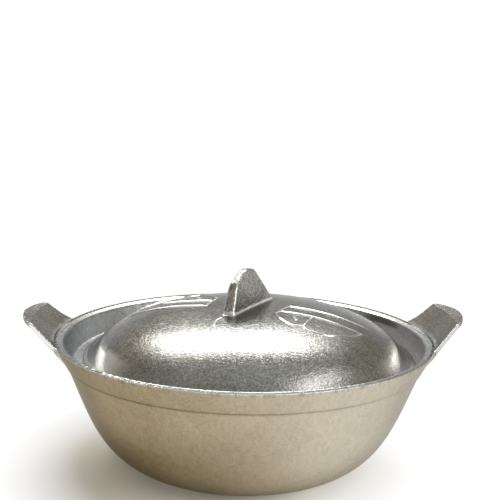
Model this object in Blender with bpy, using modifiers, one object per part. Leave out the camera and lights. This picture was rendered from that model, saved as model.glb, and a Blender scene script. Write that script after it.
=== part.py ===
"""Round cast aluminium pot with two upturned tab handles and a domed lid with a fin knob.

Metres, +Z up. The origin is on the table under the pot's centre, and the handles lie along X.
The pot is one casting and the lid another. Each is modelled as the sub-parts a person would name,
which meet along their cast faces with the clearance CAST_GAP between them.
"""

import math

import bmesh
import bpy
from mathutils import Matrix, Vector

MM = 0.001

# Turned shapes
SEGMENTS = 72
CURVE_STEPS = 10
ARC_STEPS = 4
MERGE = 1e-6

# Clearances
CAST_GAP = 0.3 * MM
SEAT_GAP = 0.3 * MM

# Pot: rim and the flared band above the lid seat
POT_HEIGHT = 84.0 * MM
RIM_RADIUS = 120.0 * MM
LIP_WIDTH = 2.6 * MM
LIP_ROUND = 0.8 * MM
BAND_DEPTH = 14.0 * MM
BAND_FLARE = 6.7 * MM
BAND_STEP = 0.6 * MM

# Pot: seat for the lid, inside
SEAT_DEPTH = 15.0 * MM
SEAT_INSET = 10.6 * MM
SEAT_WIDTH = 8.4 * MM
SEAT_FILLET = 2.2 * MM
SEAT_NOSE = 1.0 * MM

# Pot: wall and base
WALL_SLOPE = math.radians(21.9)
WALL_REACH = 39.6 * MM
BASE_REACH_INSET = 29.2 * MM
BASE_RADIUS = 42.0 * MM
WALL_THICKNESS = 4.0 * MM
FLOOR_THICKNESS = 4.5 * MM

# Tab handles
TAB_LENGTH = 19.2 * MM
TAB_TIP_CURVE = 56.0 * MM
CREASE_LENGTH = 12.4 * MM
CREASE_RISE = 13.2 * MM
TIP_RISE = 15.0 * MM
TAB_THICKNESS = 2.6 * MM
TAB_ROOT_DROP = 1.0 * MM
TAB_FOOT_DEPTH = 12.0 * MM
TAB_ROOT_WIDTH = 66.0 * MM
TAB_TIP_WIDTH = 50.0 * MM
TAB_CORNER = 6.0 * MM
TAB_EDGE = 0.9 * MM
LEFT_TAB_DIP = 1.3 * MM
RIGHT_TAB_LIFT = 0.7 * MM

# Lid: brim and dome. The play is the lid's clearance all round in its seat
LID_PLAY = 4.0 * MM
BRIM_WIDTH = 5.2 * MM
BRIM_THICKNESS = 2.0 * MM
BRIM_ROUND = 0.8 * MM
DOME_TOP = 18.2 * MM
DOME_FLATNESS = 3.05
DOME_SHOULDER = 1.42
LID_THICKNESS = 3.0 * MM

# Knob: a fin across the lid's middle
KNOB_LENGTH = 57.0 * MM
KNOB_HEIGHT = 25.0 * MM
KNOB_BASE_THICKNESS = 8.4 * MM
KNOB_TOP_THICKNESS = 5.0 * MM
KNOB_NEAR_LEAN = 6.0 * MM
KNOB_NEAR_HEIGHT = 17.5 * MM
KNOB_PEAK_START = 20.0 * MM
KNOB_PEAK_END = 31.0 * MM
KNOB_ROUND = 3.0 * MM
KNOB_EDGE = 1.0 * MM
KNOB_ANGLE = math.radians(60.0)

# Leaf of raised lines, cast on each side of the knob. Points are in hundredths of the dome's radius
# from the lid's middle.
LEAF_LINE = 0.9 * MM
LEAF_INNER_LOBE = ((17.5, -14.0), (14.5, -22.0), (18.5, -33.5), (23.5, -41.0), (30.5, -39.5))
LEAF_OUTER_LOBE = ((29.0, -38.5), (31.5, -46.5), (41.5, -49.5), (52.5, -46.0), (64.5, -36.5), (74.0, -28.0))
LEAF_UPPER_EDGE = ((23.5, -2.0), (33.0, 5.0), (46.0, 5.0), (58.0, -1.0), (67.5, -12.5), (73.0, -30.0))
LEAF_END = ((17.3, -15.7), (20.3, -8.0), (26.0, 1.0))
LEAF_MIDDLE_RIB = ((18.0, -13.3), (38.5, -22.0), (54.0, -30.0), (65.5, -33.5))
LEAF_UPPER_RIB = ((23.3, 0.6), (44.0, -8.0), (58.5, -15.5), (72.3, -21.0))
LEAF_NOTCH_RIB = ((30.0, -40.5), (33.5, -32.0), (39.0, -21.4))
LEAF_LOBE_VEIN = ((27.2, -16.4), (25.5, -24.0), (26.5, -32.5))
LEAF_EDGES = (LEAF_INNER_LOBE, LEAF_OUTER_LOBE, LEAF_UPPER_EDGE, LEAF_END)
LEAF = (*LEAF_EDGES, LEAF_MIDDLE_RIB, LEAF_UPPER_RIB, LEAF_NOTCH_RIB, LEAF_LOBE_VEIN)
LEAF_STEPS = 3

# The lid lies loose in its seat, a little to one side
LID_SHIFT = 3.2 * MM

# Places that follow from the sizes above
RIM_TOP = POT_HEIGHT
SEAT_Z = RIM_TOP - SEAT_DEPTH
BAND_FOOT_Z = RIM_TOP - BAND_DEPTH
BAND_FOOT_RADIUS = RIM_RADIUS - BAND_FLARE
SEAT_OUTER_RADIUS = RIM_RADIUS - SEAT_INSET
SEAT_INNER_RADIUS = SEAT_OUTER_RADIUS - SEAT_WIDTH
BASE_REACH_RADIUS = RIM_RADIUS - BASE_REACH_INSET
TAB_REACH = RIM_RADIUS + TAB_LENGTH
CREASE_RADIUS = RIM_RADIUS + CREASE_LENGTH
BRIM_BOTTOM = SEAT_Z + SEAT_GAP
BRIM_TOP = BRIM_BOTTOM + BRIM_THICKNESS
BRIM_RADIUS = SEAT_OUTER_RADIUS - LID_PLAY
DOME_RADIUS = BRIM_RADIUS - BRIM_WIDTH
DOME_TOP_Z = RIM_TOP + DOME_TOP


def clear_scene():
    """Removes every object that the scene starts with."""
    for item in list(bpy.data.objects):
        bpy.data.objects.remove(item, do_unlink=True)


def collection(name):
    """A collection of the scene, made when it isn't there yet."""
    found = bpy.data.collections.get(name)
    if found is None:
        found = bpy.data.collections.new(name)
        bpy.context.scene.collection.children.link(found)
    return found


def place(name, data, folder="cast_pot"):
    """A new object with this data, in one of the two collections."""
    made = bpy.data.objects.new(name, data)
    collection(folder).objects.link(made)
    return made


def helper(name, data):
    """A cutter: an object that shapes others and isn't part of the pot."""
    made = place(name, data, "cutters")
    made.hide_render = True
    made.display_type = "WIRE"
    return made


def metal(name, colour, roughness):
    """Bare cast aluminium."""
    made = bpy.data.materials.new(name)
    made.use_nodes = True
    shader = made.node_tree.nodes["Principled BSDF"]
    shader.inputs["Base Color"].default_value = (*colour, 1.0)
    shader.inputs["Metallic"].default_value = 1.0
    shader.inputs["Roughness"].default_value = roughness
    made.diffuse_color = (*colour, 1.0)
    return made


def arc(centre, radius, start, end, steps=ARC_STEPS):
    """Points on an arc in a plane, from one angle in degrees to another."""
    points = []
    for step in range(steps + 1):
        angle = math.radians(start + (end - start) * step / steps)
        points.append((centre[0] + radius * math.cos(angle), centre[1] + radius * math.sin(angle)))
    return points


def bezier(start, pull_out, pull_in, end, steps=CURVE_STEPS):
    """Points on a cubic curve that leaves and arrives towards its two pull points."""
    points = []
    for step in range(steps + 1):
        t = step / steps
        weights = ((1 - t) ** 3, 3 * (1 - t) ** 2 * t, 3 * (1 - t) * t**2, t**3)
        corners = (start, pull_out, pull_in, end)
        points.append(tuple(sum(w * c[k] for w, c in zip(weights, corners)) for k in (0, 1)))
    return points


def turned(name, profile, make=place, ends_meet=False):
    """A solid of revolution about Z. The profile is (radius, height) and runs down its outer side."""
    edges = [(i, i + 1) for i in range(len(profile) - 1)]
    if ends_meet:
        edges.append((len(profile) - 1, 0))
    mesh = bpy.data.meshes.new(name)
    mesh.from_pydata([(r, 0, z) for r, z in profile], edges, [])
    made = make(name, mesh)
    screw = made.modifiers.new("Turn", "SCREW")
    screw.steps = SEGMENTS
    screw.render_steps = SEGMENTS
    screw.use_merge_vertices = True
    screw.merge_threshold = MERGE
    screw.use_smooth_shade = True
    return made


def slab(name, outline, half_thickness, make=place):
    """A flat outline in XY, thickened evenly to both sides of its plane."""
    curve = bpy.data.curves.new(name, "CURVE")
    curve.dimensions = "2D"
    curve.fill_mode = "BOTH"
    curve.extrude = half_thickness
    spline = curve.splines.new("POLY")
    spline.points.add(len(outline) - 1)
    for point, (x, y) in zip(spline.points, outline):
        point.co = (x, y, 0, 1)
    spline.use_cyclic_u = True
    return as_mesh(place(name, curve), make)


def as_mesh(source, make=place):
    """Replaces a curve object by a mesh object with its evaluated shape, caps welded."""
    bpy.context.view_layer.update()
    graph = bpy.context.evaluated_depsgraph_get()
    mesh = bpy.data.meshes.new_from_object(source.evaluated_get(graph))
    name = source.name
    matrix = source.matrix_world.copy()
    bpy.data.objects.remove(source, do_unlink=True)
    welded = bmesh.new()
    welded.from_mesh(mesh)
    bmesh.ops.remove_doubles(welded, verts=welded.verts, dist=MERGE)
    bmesh.ops.recalc_face_normals(welded, faces=welded.faces)
    welded.to_mesh(mesh)
    welded.free()
    mesh.name = name
    made = make(name, mesh)
    made.matrix_world = matrix
    return made


def combine(target, other, operation):
    """Cuts, keeps or joins another object's solid with an exact Boolean."""
    step = target.modifiers.new(f"{operation.title()} {other.name}", "BOOLEAN")
    step.operation = operation
    step.object = other
    step.solver = "EXACT"
    return step


def soften(made, width):
    """Rounds an object's sharp edges."""
    bevel = made.modifiers.new("Soft edges", "BEVEL")
    bevel.width = width
    bevel.segments = 2
    bevel.angle_limit = math.radians(50)


def finish(made, material, sharp=math.radians(35)):
    """Fixes the evaluated shape in the object's mesh, shades it smooth and gives it its material."""
    bpy.context.view_layer.update()
    graph = bpy.context.evaluated_depsgraph_get()
    mesh = bpy.data.meshes.new_from_object(made.evaluated_get(graph))
    made.modifiers.clear()
    made.data = mesh
    mesh.name = made.name
    mesh.shade_smooth()
    mesh.set_sharp_from_angle(angle=sharp)
    mesh.materials.clear()
    mesh.materials.append(material)
    return made


def wall_curve():
    """The bowl's outside from the foot of the band, down and round into the flat base."""
    top = (BAND_FOOT_RADIUS - BAND_STEP, BAND_FOOT_Z)
    pull_out = (top[0] - WALL_REACH * math.tan(WALL_SLOPE), top[1] - WALL_REACH)
    return bezier(top, pull_out, (BASE_REACH_RADIUS, 0), (BASE_RADIUS, 0))


def inner_wall_curve():
    """The bowl's inside from the flat floor, up to the nose of the lid seat."""
    foot = (BASE_RADIUS, FLOOR_THICKNESS)
    pull_out = (BASE_REACH_RADIUS - WALL_THICKNESS, FLOOR_THICKNESS)
    head = (SEAT_INNER_RADIUS, SEAT_Z - SEAT_NOSE)
    pull_in = (SEAT_INNER_RADIUS - WALL_THICKNESS / 2, SEAT_Z - WALL_REACH)
    return bezier(foot, pull_out, pull_in, head)


def lip_points():
    """The rim's rounded lip, from its inner edge to its outer edge."""
    inner = (RIM_RADIUS - LIP_WIDTH + LIP_ROUND, RIM_TOP - LIP_ROUND)
    outer = (RIM_RADIUS - LIP_ROUND, RIM_TOP - LIP_ROUND)
    return arc(inner, LIP_ROUND, 150, 90) + arc(outer, LIP_ROUND, 90, 0)


def seat_points():
    """The flat seat, from its rounded nose out to the fillet under the flare."""
    nose = arc((SEAT_INNER_RADIUS + SEAT_NOSE, SEAT_Z - SEAT_NOSE), SEAT_NOSE, 180, 90)
    fillet = arc((SEAT_OUTER_RADIUS - SEAT_FILLET, SEAT_Z + SEAT_FILLET), SEAT_FILLET, 270, 330)
    return nose[1:] + fillet


def make_bowl(material):
    """The bowl: base, wall, lid seat, flared band and rim lip, turned in one piece."""
    inside = [(0, FLOOR_THICKNESS)] + inner_wall_curve() + seat_points()
    band = [(BAND_FOOT_RADIUS, BAND_FOOT_Z)]
    outside = wall_curve() + [(0, 0)]
    return finish(turned("pot_bowl", inside + lip_points() + band + outside), material)


def bowl_clearance():
    """What a handle may not enter: the band and rim, grown by the cast clearance."""
    above = RIM_TOP + 2 * CREASE_RISE
    below = RIM_TOP - 2 * BAND_DEPTH
    slope = (RIM_RADIUS - BAND_FOOT_RADIUS) / (BAND_DEPTH - LIP_ROUND)
    grow = CAST_GAP * math.hypot(1, slope)
    profile = [
        (0, above),
        (RIM_RADIUS + grow, above),
        (RIM_RADIUS + grow, RIM_TOP - LIP_ROUND),
        (BAND_FOOT_RADIUS + grow, BAND_FOOT_Z),
        (BAND_FOOT_RADIUS + grow, below),
        (0, below),
    ]
    return turned("bowl_clearance", profile, helper)


def tab_section(lift):
    """The handle's section in (radius, height): a plate that climbs, then lies flatter at its tip."""
    root = Vector((RIM_RADIUS, RIM_TOP - TAB_ROOT_DROP))
    crease = Vector((CREASE_RADIUS, RIM_TOP + CREASE_RISE + lift))
    tip = Vector((TAB_REACH, RIM_TOP + TIP_RISE + lift))
    climb = (crease - root).normalized()
    lie = (tip - crease).normalized()
    below_climb = Vector((climb.y, -climb.x))
    below_lie = Vector((lie.y, -lie.x))
    half_turn = climb.angle(lie) / 2
    under_crease = crease + (below_climb + below_lie).normalized() * TAB_THICKNESS / math.cos(half_turn)
    beyond = tip + lie * TAB_THICKNESS
    back = RIM_RADIUS - 3 * TAB_THICKNESS
    top = [(back, RIM_TOP - TAB_ROOT_DROP), root, crease, beyond]
    under = [beyond + below_lie * TAB_THICKNESS, under_crease, root + below_climb * TAB_THICKNESS]
    foot = RIM_TOP - TAB_FOOT_DEPTH
    return [tuple(point) for point in [*top, *under, (BAND_FOOT_RADIUS, foot), (back, foot)]]


def tab_outline():
    """The handle's outline from above, towards +X: sides that close in, round corners and a bowed tip."""
    bow_centre = Vector((TAB_REACH - TAB_TIP_CURVE, 0))
    root = Vector((RIM_RADIUS, TAB_ROOT_WIDTH / 2))
    end = Vector((TAB_REACH, TAB_TIP_WIDTH / 2))
    along = (end - root).normalized()
    inward = Vector((along.y, -along.x))
    start = root + inward * TAB_CORNER - bow_centre
    limit = TAB_TIP_CURVE - TAB_CORNER
    reach = math.sqrt(start.dot(along) ** 2 - start.dot(start) + limit**2) - start.dot(along)
    corner_centre = bow_centre + start + along * reach
    from_bow = corner_centre - bow_centre
    side_angle = math.degrees(math.atan2(-inward.y, -inward.x))
    bow_angle = math.degrees(math.atan2(from_bow.y, from_bow.x))
    near = [tuple(root - along * 3 * TAB_THICKNESS)] + arc(corner_centre, TAB_CORNER, side_angle, bow_angle)
    bow = arc(bow_centre, TAB_TIP_CURVE, bow_angle, -bow_angle, 2 * ARC_STEPS)[1:-1]
    return near + bow + [(x, -y) for x, y in reversed(near)]


def make_handle(name, turn, lift, clearance, material):
    """One tab handle: its turned section, kept inside its outline and cut clear of the bowl."""
    made = turned(name, tab_section(lift), ends_meet=True)
    outline = slab(f"{name}_outline", tab_outline(), 2 * POT_HEIGHT, helper)
    outline.rotation_euler.z = turn
    combine(made, outline, "INTERSECT")
    soften(made, TAB_EDGE)
    combine(made, clearance, "DIFFERENCE")
    return finish(made, material)


def dome_height(radius, top=DOME_TOP_Z, reach=DOME_RADIUS, foot=BRIM_TOP):
    """Height of the dome at a radius: flat in the middle, with a full shoulder and a steep foot."""
    share = min(max(radius / reach, 0.0), 1.0)
    return foot + (top - foot) * (1 - share**DOME_FLATNESS) ** (1 / DOME_SHOULDER)


def dome_curve(top, reach, foot, steps=CURVE_STEPS + 4):
    """Points from the middle of a dome out to its foot, closer together where it bends more."""
    points = []
    for step in range(steps + 1):
        share = math.sin(math.pi / 2 * step / steps)
        points.append((reach * share, dome_height(reach * share, top, reach, foot)))
    return points


def lid_profile():
    """The lid's section: dome, flat brim with a rounded edge, and the hollow underneath."""
    outside = dome_curve(DOME_TOP_Z, DOME_RADIUS, BRIM_TOP)
    upper = (BRIM_RADIUS - BRIM_ROUND, BRIM_TOP - BRIM_ROUND)
    lower = (BRIM_RADIUS - BRIM_ROUND, BRIM_BOTTOM + BRIM_ROUND)
    edge = arc(upper, BRIM_ROUND, 90, 0) + arc(lower, BRIM_ROUND, 0, -90)
    inside = dome_curve(DOME_TOP_Z - LID_THICKNESS, DOME_RADIUS - LID_THICKNESS, BRIM_BOTTOM)
    return outside + edge + inside[::-1]


def smooth_line(points, steps=LEAF_STEPS):
    """A rounded path through a few points, and as many more between each two of them as steps allow."""
    points = [Vector(point) for point in points]
    ahead = [2 * points[0] - points[1], *points, 2 * points[-1] - points[-2]]
    path = []
    for before, start, end, after in zip(ahead, ahead[1:], ahead[2:], ahead[3:]):
        leave = start + (end - before) / 6
        arrive = end - (after - start) / 6
        path += bezier(start, leave, arrive, end, steps)[:-1]
    return path + [tuple(points[-1])]


def raised_line(name, points, turn):
    """A round ridge that lies half in the lid's surface."""
    curve = bpy.data.curves.new(name, "CURVE")
    curve.dimensions = "3D"
    curve.bevel_depth = LEAF_LINE
    curve.bevel_resolution = 1
    curve.use_fill_caps = True
    path = smooth_line(points)
    spline = curve.splines.new("POLY")
    spline.points.add(len(path) - 1)
    for point, (x, y) in zip(spline.points, path):
        x, y = x / 100 * DOME_RADIUS, y / 100 * DOME_RADIUS
        point.co = (x, y, dome_height(math.hypot(x, y)), 1)
    line = place(name, curve)
    line.rotation_euler.z = turn
    return as_mesh(line, helper)


def make_lid(material):
    """The lid's dome and brim, with a leaf of raised lines on each side of the knob."""
    made = turned("lid_dome", lid_profile())
    for side, turn in (("right", 0.0), ("left", math.pi)):
        for number, points in enumerate(LEAF):
            combine(made, raised_line(f"{side}_leaf_line_{number}", points, turn), "UNION")
    return finish(made, material)


def fin_outline():
    """The knob's outline from its side: steep near end, chamfered peak and a long far slope."""
    half = KNOB_LENGTH / 2
    sunk = -LID_THICKNESS
    corners = [
        (-half + KNOB_NEAR_LEAN, KNOB_NEAR_HEIGHT),
        (-half + KNOB_PEAK_START, KNOB_HEIGHT),
        (-half + KNOB_PEAK_END, KNOB_HEIGHT * 0.96),
    ]
    outline = [(-half + KNOB_NEAR_LEAN * sunk / KNOB_NEAR_HEIGHT, sunk)]
    path = [outline[0], *corners, (half, 0)]
    for before, corner, after in zip(path, path[1:], path[2:]):
        outline += rounded_corner(before, corner, after, KNOB_ROUND)
    slope = (half - corners[-1][0]) / corners[-1][1]
    return outline + [(half, 0), (half - slope * sunk, sunk)]


def rounded_corner(before, corner, after, pull):
    """Points that take a corner of an outline in a smooth bend, starting a set length away from it."""
    corner = Vector(corner)
    start = corner + (Vector(before) - corner).normalized() * pull
    end = corner + (Vector(after) - corner).normalized() * pull
    pull_out = (start + 2 * corner) / 3
    pull_in = (end + 2 * corner) / 3
    return bezier(tuple(start), tuple(pull_out), tuple(pull_in), tuple(end), ARC_STEPS)


def dome_clearance():
    """What the knob may not enter: the dome, grown by the cast clearance."""
    points = [(r, z + CAST_GAP) for r, z in dome_curve(DOME_TOP_Z, DOME_RADIUS, BRIM_TOP)]
    return turned("dome_clearance", points + [(0, BRIM_TOP)], helper)


def make_knob(material):
    """The fin knob: a drafted slab that stands on the dome, turned askew to the handles."""
    made = slab("lid_knob", fin_outline(), KNOB_BASE_THICKNESS / 2)
    draft = (1 - KNOB_TOP_THICKNESS / KNOB_BASE_THICKNESS) / KNOB_HEIGHT
    for vertex in made.data.vertices:
        vertex.co.z *= 1 - draft * max(vertex.co.y, 0)
    upright = Matrix.Rotation(KNOB_ANGLE, 4, "Z") @ Matrix.Rotation(math.pi / 2, 4, "X")
    made.data.transform(Matrix.Translation((0, 0, DOME_TOP_Z)) @ upright)
    soften(made, KNOB_EDGE)
    combine(made, dome_clearance(), "DIFFERENCE")
    return finish(made, material)


def main():
    clear_scene()
    satin = metal("satin_cast_aluminium", (0.56, 0.54, 0.49), 0.38)
    bright = metal("bright_cast_aluminium", (0.66, 0.66, 0.65), 0.24)
    make_bowl(satin)
    clearance = bowl_clearance()
    make_handle("left_handle", math.pi, -LEFT_TAB_DIP, clearance, satin)
    make_handle("right_handle", 0.0, RIGHT_TAB_LIFT, clearance, satin)
    for piece in (make_lid(bright), make_knob(bright)):
        piece.data.transform(Matrix.Translation((LID_SHIFT, 0, 0)))


main()
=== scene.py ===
"""Looks of the lidded two-handled pot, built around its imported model.

Metres, +Z up, origin on the table under the pot's centre, handles along X. Named sizes are in mm.
"""

import math

import bpy
import numpy as np
from mathutils import Matrix, Quaternion, Vector, noise


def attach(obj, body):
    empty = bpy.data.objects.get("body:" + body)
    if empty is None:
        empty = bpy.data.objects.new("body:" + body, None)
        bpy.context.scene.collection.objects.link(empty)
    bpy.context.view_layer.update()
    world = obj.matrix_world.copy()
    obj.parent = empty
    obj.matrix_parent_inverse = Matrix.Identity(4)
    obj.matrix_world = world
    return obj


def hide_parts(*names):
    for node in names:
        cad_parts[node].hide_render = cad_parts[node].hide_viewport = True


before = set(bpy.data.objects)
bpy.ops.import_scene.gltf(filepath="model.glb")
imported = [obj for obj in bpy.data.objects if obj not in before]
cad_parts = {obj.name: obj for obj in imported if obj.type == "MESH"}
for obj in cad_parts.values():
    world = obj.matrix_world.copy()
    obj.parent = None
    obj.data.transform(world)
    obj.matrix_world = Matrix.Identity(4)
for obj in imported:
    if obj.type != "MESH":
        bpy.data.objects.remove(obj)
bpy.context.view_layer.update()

MM = 0.001

POT_SLOT = "satin_cast_aluminium"
LID_SLOT = "bright_cast_aluminium"

# Pot, in mm
POT_HEIGHT = 84.0
RIM_RADIUS = 120.0
LIP_CROWN_RADIUS = 118.3
LIP_CROWN_REACH = 0.3
LIP_CROWN_FALL = 0.06
LIP_FALL = 0.6
LIP_INNER_RADIUS = 117.8
LIP_INNER_FALL = 0.25
LIP_ROUND = 0.4
LIP_ROLL_SLOPE = -0.6
FLARE_KNEE = (114.2, 82.1)
FLARE_KNEE_ROUND = 2.2
FLARE_FOOT_SLOPE = math.radians(50.0)
FLARE_FOOT_PULL = 4.0
FLARE_HEAD_SLOPE = math.radians(74.0)
FLARE_HEAD_PULL = 4.5
BELL_FOOT_PULL = 0.9
BELL_TOP_SLOPE = math.radians(20.0)
BELL_TOP_PULL = 0.8
BAND_FOOT_Z = 70.0
BAND_FOOT_RADIUS = 113.3
BAND_STEP = 0.6
BAND_ROUND = 0.35
SEAT_Z = 69.0
SEAT_OUTER_RADIUS = 109.4
SEAT_INNER_RADIUS = 101.0
SEAT_FILLET = 2.2
SEAT_NOSE = 1.0
WALL_SLOPE = math.radians(21.9)
WALL_REACH = 39.6
BASE_REACH_RADIUS = 90.8
BASE_RADIUS = 42.0
MIDDLE_RADIUS = 3.0
WALL_THICKNESS = 4.0
FLOOR_THICKNESS = 4.5
POT_SEGMENTS = 720

# Uneven surfaces: each layer of lumps has their size and height in mm, and a seed. SEED_STEPS is how
# far the noise moves on for each step of the seed, so that no two layers are alike.
SEED_STEPS = (13.7, 5.1, 9.3)
POT_LUMPS = ((34.0, 0.05, 1), (11.0, 0.018, 2))
TAB_LUMPS = (9.0, 0.08, 22)
TAB_TIP_LUMPS = (1.6, 0.07, 21)
TAB_ROOT_LUMPS = (6.0, 1.0, 23)
LID_LUMPS = ((19.0, 0.045, 31), (7.0, 0.012, 32))
LID_FOOT_LUMPS = (6.0, 1.0, 33)
KNOB_LUMPS = ((2.2, 0.05, 51), (8.0, 0.07, 52))
KNOB_FOOT_LUMPS = (3.0, 0.8, 53)

# Wear of the lip, in mm. Waves round the rim have their shortest and longest length, and a seed.
LIP_WEAR = 0.35
LIP_WEAR_REACH = 2.6
LIP_WEAR_INSET = 0.5
NICK_DEPTH = 0.12
DIP_WAVES = (4.0, 70.0, 5)
NICK_WAVES = (1.6, 6.0, 8)
FACE_WAVES = (3.0, 40.0, 11)

# Places of grinding on the pot, with a painted highlight at the back, and dark marks: chips and painted
# shade. A pair that ends in FADE says where a mark starts and over what width it comes in.
BACK_FADE = (-0.16, 0.4)
LIP_TOP_FADE = (81.0, 0.5)
LIP_LEVEL_FADE = (0.6, 0.2)
LIP_DARK_FADE = (116.5, 0.4)
LIP_GROUND_RADIUS = 118.0
# how much farther in the bright band reaches at the back: painted highlight
LIP_BACK_HIGHLIGHT = 3.8
LIP_GROUND_SWING = 0.45
LIP_GROUND_WIDTH = 0.3
LIP_GROUND_WAVES = (2.5, 30.0, 17)
CHIP_DEPTH = 0.35
CHIP_INSET = 0.2
CHIP_FADE = (0.35, 0.4)
CHIP_WAVES = (2.5, 25.0, 23)

# Painted shade in the crease under the band and in the flared band's knee: how far it reaches and over
# what width it fades, in mm. Patches have a middle value, a swing, the shortest and longest length of
# their waves in mm, and a seed.
CREASE_SHADE = (1.54, 1.1)
CREASE_DEPTH = 0.6
# the crease's painted shade is heavier on the left
CREASE_LEFT_MORE = 0.35
CREASE_INSET = 2.0
CREASE_PATCHES = (0.85, 0.3, 6.0, 60.0, 31)
KNEE_SHADE = (0.91, 0.7)
KNEE_DROP = 0.7
KNEE_DEPTH = 0.8
KNEE_PATCHES = (0.6, 0.6, 3.0, 25.0, 19)

# Painted reflections: dark streaks in the flared band: turn and half width in degrees, lowest height
# in mm, and depth.
# STREAK_TOP is the radius where they end, and over what width, in mm.
FLARE_STREAKS = ((27.0, 12.0, 76.5, 0.95), (3.0, 8.0, 78.5, 0.7), (10.0, 34.0, 68.0, 0.6))
STREAK_TOP = (114.8, 0.8)
STREAK_FOOT_WIDTH = 1.5

# Tab handles, in mm, and their edge rounding: its width, its steps, and from what angle in degrees
TAB_REACH = 139.2
TAB_TIP_CURVE = 56.0
CREASE_RADIUS = 132.4
CREASE_RISE = 13.2
TIP_RISE = 15.0
TAB_THICKNESS = 2.6
TAB_ROOT_DROP = 1.0
TAB_FOOT_DEPTH = 12.0
TAB_ROOT_WIDTH = 66.0
TAB_TIP_WIDTH = 50.0
TAB_CORNER = 6.0
TAB_SIDE_FILLET = 5.0
TAB_FLARE_ANGLE = 0.31
TAB_FLARE_INSET = 1.5
TAB_FLARE_OUT = 3.0
TAB_FLARE_PULL = 1.004
TAB_FLARE_BACK = 6.0
TAB_INNER_END = 90.0
TAB_SUNK = 1.2
TAB_SECTOR = 24.0
TAB_SLICES = 97
TAB_BEVEL = (0.8, 3, 40.0)
TAB_VOXEL = 0.45
TAB_SMOOTHING = 6
TAB_TIP_FADE = (130.9, 3.0)
# edges that bend out more than this are painted bright: wear and painted highlight
TAB_EDGE_WEAR_SHEEN = 0.07
TAB_EDGE_WEAR_SHEEN_ROUNDS = 2
# the flanks and a strip along the root get painted highlights
TAB_FLANK_FADE = (0.65, 0.15)
TAB_FLANK_START = 121.0
TAB_ROOT_HIGHLIGHT = 121.8
TAB_ROOT_HIGHLIGHT_WIDTH = 1.4
TAB_ROOT_LEVEL = 0.3

# The two handles: name, turn, lift of the tab in mm, how strongly its edges and flanks are painted
# bright (wear and painted highlight), and its CAD node
TABS = (
    ("left_tab", math.pi, -1.3, 1.0, "left_handle"),
    ("right_tab", 0.0, 0.7, 0.5, "right_handle"),
)

# Lid, in mm
LID_SHIFT = 3.2
BRIM_RADIUS = 105.4
BRIM_BOTTOM = 69.3
BRIM_TOP = 71.3
BRIM_ROUND = 0.7
DOME_RADIUS = 100.2
DOME_TOP = 102.2
DOME_FLATNESS = 3.05
DOME_SHOULDER = 1.42
DOME_START = 0.02
DOME_FOOT_SLOPE = math.radians(47.0)
DOME_FOOT_BEND = 1.0
LID_THICKNESS = 3.0
# painted highlight on the dome's foot, at the left and right sides only
LID_FOOT_HIGHLIGHT_TOP = 82.5
LID_FOOT_HIGHLIGHT_WIDTH = 2.0
LID_FOOT_HIGHLIGHT_SIDES = (0.76, 0.12)
LID_SEGMENTS = 540

# Leaf of raised lines on each side of the knob, in mm from the lid's middle
LEAF_LINES = (
    ((17.5, -14.0), (14.5, -22.0), (18.5, -33.5), (23.5, -41.0), (30.5, -39.5)),
    ((29.0, -38.5), (31.5, -46.5), (41.5, -49.5), (52.5, -46.0), (61.5, -39.5), (66.5, -33.0)),
    ((17.5, -16.0), (20.5, -8.0), (26.0, 1.0)),
    ((18.0, -13.5), (38.5, -22.0), (54.0, -30.0), (65.5, -33.5)),
    ((23.5, 0.5), (44.0, -8.0), (58.5, -15.5), (72.5, -21.0)),
    ((30.0, -40.5), (33.5, -32.0), (39.0, -21.5)),
    ((27.0, -16.5), (25.5, -24.0), (26.5, -32.5)),
)
LEAF_HEIGHTS = (0.50, 0.66, 0.40, 0.50, 0.46, 0.56, 0.30)
LEFT_LEAF_TURN = math.radians(188.0)
LEFT_LEAF_SHIFT = (-3.5, 3.5)
NEAR_LINE = ((-18.5, -29.0), (-22.5, -34.0), (-24.4, -44.0))
NEAR_LINE_HEIGHT = 0.35
LEAF_SEEDS = (40, 50, 60)
LEAF_STEPS = 14

# Section of a raised line: it thins out towards its ends, over this many steps, and varies a little
RIDGE_HALF_WIDTH = 1.15
RIDGE_SUNK = 0.5
RIDGE_SINK = 0.07
RIDGE_POINTS = 11
RIDGE_FULLNESS = 1.6
RIDGE_END_STEPS = 4
RIDGE_END_HEIGHT = 0.35
RIDGE_END_WIDTH = 0.6
RIDGE_HEIGHT_SWING = 0.16
RIDGE_WIDTH_SWING = 0.10
RIDGE_WAVES = (60, 300)
RIDGE_WAVE_COUNT = 8

# Knob, in mm from the lid's middle: along the fin, and up from the dome
KNOB_HALF_LENGTH = 28.5
KNOB_CORNERS = ((-22.5, 17.5), (-8.5, 25.0), (2.5, 24.0))
KNOB_ROUND = 3.0
KNOB_BASE_THICKNESS = 8.4
KNOB_TOP_THICKNESS = 5.0
KNOB_HEIGHT = 25.0
KNOB_BELOW = 1.0
KNOB_BEVEL = (1.4, 4, 50.0)
KNOB_ANGLE = math.radians(60.0)
KNOB_OFFSET = (-1.0, -1.0)
KNOB_FOOT_DEPTH = 2.2
KNOB_FOOT_TOP = -0.12
KNOB_FOOT_SPREAD = 5.0
KNOB_FOOT_BLEND = 2.2
KNOB_VOXEL = 0.4
KNOB_SMOOTHING = 3
KNOB_FOOT_SMOOTHING = 22
# edges that bend out more than this are painted bright: wear and painted highlight
KNOB_EDGE_WEAR_SHEEN = 0.035
KNOB_EDGE_WEAR_SHEEN_ROUNDS = 3
# painted highlight along the fillet at the knob's foot
KNOB_FILLET_HIGHLIGHT = 2.3
KNOB_FILLET_HIGHLIGHT_WIDTH = 0.7

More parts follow.
